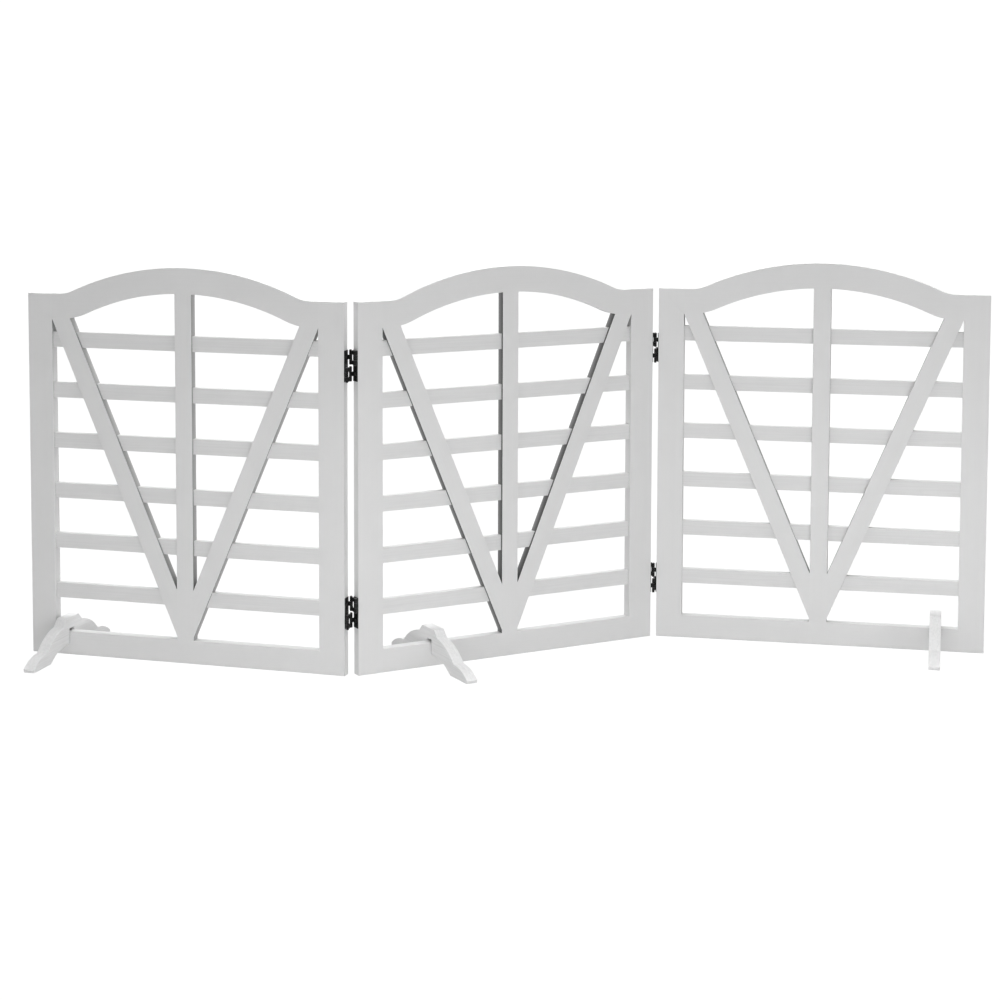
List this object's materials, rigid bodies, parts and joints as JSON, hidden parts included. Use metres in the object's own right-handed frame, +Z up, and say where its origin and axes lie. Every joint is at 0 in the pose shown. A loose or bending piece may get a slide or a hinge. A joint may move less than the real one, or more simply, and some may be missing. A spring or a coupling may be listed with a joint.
{
  "type": "pet gate",
  "caption": "Free-standing folding pet gate with arched slatted panels, double-action hinges and slotted scroll feet.",
  "frame": {"origin": "centre of the footprint on the floor, at the height of the panels' bottom edges and the feet's soles", "axes": "+X along the gate from the left panel to the right one, +Y to the back, +Z up"},
  "size_m": [1.4714, 0.3384, 0.6],
  "materials": {
    "frame_paint": "white satin paint",
    "slat_paint": "white satin paint, faint grain",
    "foot_paint": "white satin paint, open streaky grain",
    "hinge_steel": "black, half gloss",
    "pin_steel": "black, worn at the heads",
    "screw_steel": "black, bright in the recess"
  },
  "bodies": {
    "middle_panel": {"middle_panel_left_stile": "frame_paint", "middle_panel_right_stile": "frame_paint", "middle_panel_top_rail": "frame_paint", "middle_panel_bottom_rail": "frame_paint", "middle_panel_centre_bar": "frame_paint", "middle_panel_left_brace": "frame_paint", "middle_panel_right_brace": "frame_paint", "middle_panel_slat_1": "slat_paint", "middle_panel_slat_2": "slat_paint", "middle_panel_slat_3": "slat_paint", "middle_panel_slat_4": "slat_paint", "middle_panel_slat_5": "slat_paint", "middle_panel_slat_6": "slat_paint", "left_hinge_middle_leaves": "hinge_steel", "left_hinge_top_links": "hinge_steel", "left_hinge_top_pins": "pin_steel", "right_hinge_middle_leaves": "hinge_steel", "right_hinge_top_links": "hinge_steel", "right_hinge_top_pins": "pin_steel", "middle_panel_hinge_screws": "screw_steel"},
    "left_hinge_links": {"left_hinge_bottom_links": "hinge_steel", "left_hinge_bottom_pins": "pin_steel"},
    "left_panel": {"left_panel_left_stile": "frame_paint", "left_panel_right_stile": "frame_paint", "left_panel_top_rail": "frame_paint", "left_panel_bottom_rail": "frame_paint", "left_panel_centre_bar": "frame_paint", "left_panel_left_brace": "frame_paint", "left_panel_right_brace": "frame_paint", "left_panel_slat_1": "slat_paint", "left_panel_slat_2": "slat_paint", "left_panel_slat_3": "slat_paint", "left_panel_slat_4": "slat_paint", "left_panel_slat_5": "slat_paint", "left_panel_slat_6": "slat_paint", "left_hinge_outer_leaves": "hinge_steel", "left_panel_hinge_screws": "screw_steel"},
    "right_hinge_links": {"right_hinge_bottom_links": "hinge_steel", "right_hinge_bottom_pins": "pin_steel"},
    "right_panel": {"right_panel_left_stile": "frame_paint", "right_panel_right_stile": "frame_paint", "right_panel_top_rail": "frame_paint", "right_panel_bottom_rail": "frame_paint", "right_panel_centre_bar": "frame_paint", "right_panel_left_brace": "frame_paint", "right_panel_right_brace": "frame_paint", "right_panel_slat_1": "slat_paint", "right_panel_slat_2": "slat_paint", "right_panel_slat_3": "slat_paint", "right_panel_slat_4": "slat_paint", "right_panel_slat_5": "slat_paint", "right_panel_slat_6": "slat_paint", "right_hinge_outer_leaves": "hinge_steel", "right_panel_hinge_screws": "screw_steel"},
    "left_foot": {"left_foot": "foot_paint"},
    "middle_foot": {"middle_foot": "foot_paint"},
    "right_foot": {"right_foot": "foot_paint"}
  },
  "joints": [
    {"name": "left_back_pin", "type": "hinge", "parent": "middle_panel", "child": "left_hinge_links", "pos_m": [-0.23594, -0.11253, 0.278], "axis": [0, 0, -1], "range_deg": [-44.1, 55.9]},
    {"name": "left_front_pin", "type": "hinge", "parent": "left_hinge_links", "child": "left_panel", "pos_m": [-0.24027, -0.12793, 0.278], "axis": [0, 0, 1], "range_deg": [0, 100]},
    {"name": "right_front_pin", "type": "hinge", "parent": "middle_panel", "child": "right_hinge_links", "pos_m": [0.22864, 0.12049, 0.278], "axis": [0, 0, -1], "range_deg": [-40.2, 59.8]},
    {"name": "right_back_pin", "type": "hinge", "parent": "right_hinge_links", "child": "right_panel", "pos_m": [0.23191, 0.13615, 0.278], "axis": [0, 0, 1], "range_deg": [0, 100]},
    {"name": "left_foot_slide", "type": "slide", "parent": "left_panel", "child": "left_foot", "axis": [0.9627, -0.2706, 0], "range_m": [-0.0045, 0.17]},
    {"name": "middle_foot_slide", "type": "slide", "parent": "middle_panel", "child": "middle_foot", "axis": [0.8796, 0.4756, 0], "range_m": [-0.0795, 0.095]},
    {"name": "right_foot_slide", "type": "slide", "parent": "right_panel", "child": "right_foot", "axis": [0.9789, -0.2045, 0], "range_m": [-0.15, 0.0245]}
  ]
}
